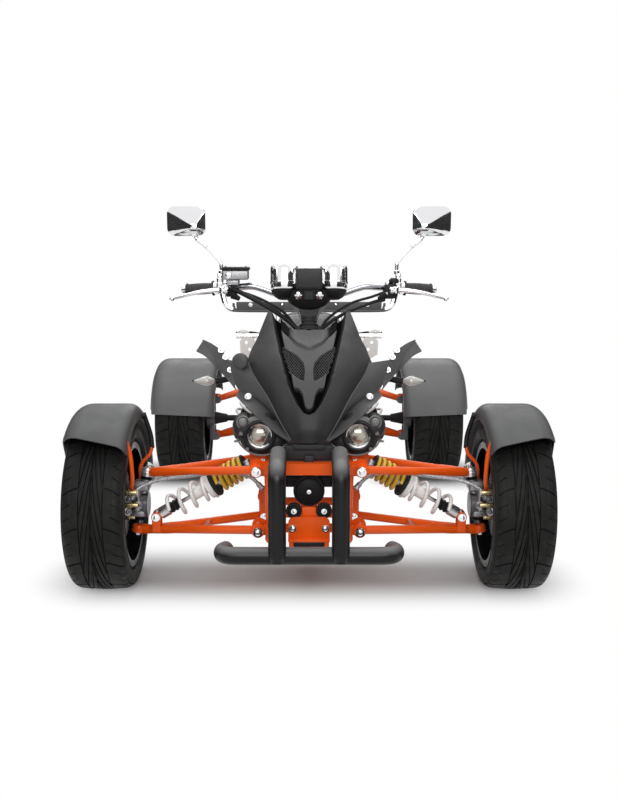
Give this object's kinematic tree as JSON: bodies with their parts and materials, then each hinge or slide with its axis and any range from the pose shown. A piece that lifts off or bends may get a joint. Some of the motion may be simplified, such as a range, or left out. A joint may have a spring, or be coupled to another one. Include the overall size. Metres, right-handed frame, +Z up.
{
  "type": "quad bike",
  "caption": "Road quad bike with round lamps in a V-shaped nose, tube frame, double-arm suspension, cycle fenders and wide road tyres.",
  "frame": {"origin": "middle of the bounding box on the ground", "axes": "+Z up, -Y the way it drives, +X to the rider's left"},
  "size_m": [1.315, 1.9711, 1.0719],
  "materials": {
    "alloy": "satin",
    "black_metal": "satin",
    "black_plastic": "matte",
    "cast": "satin",
    "chrome": "gloss",
    "lens": "gloss",
    "orange": "gloss",
    "red_lens": "gloss",
    "rubber": "matte",
    "spring": "gloss",
    "steel": "satin",
    "tyre": "satin",
    "vinyl": "satin"
  },
  "bodies": {
    "chassis": {"main_frame": "orange", "front_plate": "orange", "front_bumper": "black_metal", "horn": "black_metal", "front_arms": "orange", "rear_arms": "orange", "dampers": "alloy", "coil_springs": "spring", "rear_carriers": "cast", "rear_drive": "cast", "engine": "cast", "exhaust": "steel", "nose_cowl": "black_plastic", "scoop_panel": "black_plastic", "scoop_mesh": "black_metal", "side_wings": "black_plastic", "headlight_pods": "black_plastic", "headlight_lenses": "lens", "indicators": "lens", "filler_cap": "black_plastic", "side_panels": "black_plastic", "tank": "black_plastic", "seat": "vinyl", "tail_cowl": "black_plastic", "tail_lamp": "red_lens", "rear_rack": "chrome", "rack_plate": "black_metal", "rack_brackets": "alloy", "rear_fenders": "black_plastic", "rear_fender_stays": "orange", "footrests": "black_metal", "brake_hose_left": "steel", "brake_hose_right": "steel", "control_cables": "rubber"},
    "steering": {"steering_column": "black_metal", "handlebar": "black_metal", "bar_clamp": "black_metal", "grips": "rubber", "hand_controls": "chrome", "levers": "chrome", "mirrors": "chrome", "gauge_pods": "chrome", "gauge_box": "black_plastic"},
    "tie_left": {"tie_rod_left": "steel"},
    "tie_right": {"tie_rod_right": "steel"},
    "knuckle_body_left": {"knuckle_left": "alloy", "fender_stay_left": "orange", "front_fender_left": "black_plastic"},
    "knuckle_body_right": {"knuckle_right": "alloy", "fender_stay_right": "orange", "front_fender_right": "black_plastic"},
    "wheel_front_left": {"tyre_front_left": "tyre", "rim_front_left": "alloy"},
    "wheel_front_right": {"tyre_front_right": "tyre", "rim_front_right": "alloy"},
    "wheel_rear_left": {"tyre_rear_left": "tyre", "rim_rear_left": "alloy"},
    "wheel_rear_right": {"tyre_rear_right": "tyre", "rim_rear_right": "alloy"}
  },
  "joints": [
    {"name": "steer", "type": "hinge", "parent": "chassis", "child": "steering", "pos_m": [0, -0.56, 0.329], "axis": [0, 0.342, 0.9397], "range_deg": [-30, 30], "deforming": ["control_cables"]},
    {"name": "kingpin_left", "type": "hinge", "parent": "chassis", "child": "knuckle_body_left", "pos_m": [0.478, -0.628, 0.19], "axis": [-0.1611, 0.1121, 0.9806], "range_deg": [-30, 30], "deforming": ["brake_hose_left"]},
    {"name": "kingpin_right", "type": "hinge", "parent": "chassis", "child": "knuckle_body_right", "pos_m": [-0.478, -0.628, 0.19], "axis": [0.1611, 0.1121, 0.9806], "range_deg": [-30, 30], "deforming": ["brake_hose_right"]},
    {"name": "tie_left", "type": "hinge", "parent": "steering", "child": "tie_left", "pos_m": [0.02, -0.48013, 0.29993], "axis": [0, 0.342, 0.9397], "range_deg": [-31.55, 31.55]},
    {"name": "tie_right", "type": "hinge", "parent": "steering", "child": "tie_right", "pos_m": [-0.02, -0.48013, 0.29993], "axis": [0, 0.342, 0.9397], "range_deg": [-31.55, 31.55]},
    {"name": "spin_front_left", "type": "hinge", "parent": "knuckle_body_left", "child": "wheel_front_left", "pos_m": [0.5675, -0.62, 0.2365], "axis": [1, 0, 0], "continuous": true},
    {"name": "spin_front_right", "type": "hinge", "parent": "knuckle_body_right", "child": "wheel_front_right", "pos_m": [-0.5675, -0.62, 0.2365], "axis": [1, 0, 0], "continuous": true},
    {"name": "spin_rear_left", "type": "hinge", "parent": "chassis", "child": "wheel_rear_left", "pos_m": [0.5125, 0.71, 0.2365], "axis": [1, 0, 0], "continuous": true},
    {"name": "spin_rear_right", "type": "hinge", "parent": "chassis", "child": "wheel_rear_right", "pos_m": [-0.5125, 0.71, 0.2365], "axis": [1, 0, 0], "continuous": true}
  ],
  "couplings": [
    {"joint": "kingpin_left", "follows": "steer", "ratio": 1},
    {"joint": "kingpin_right", "follows": "steer", "ratio": 1},
    {"joint": "tie_left", "follows": "steer", "ratio": -1.035},
    {"joint": "tie_right", "follows": "steer", "ratio": -1.035}
  ]
}
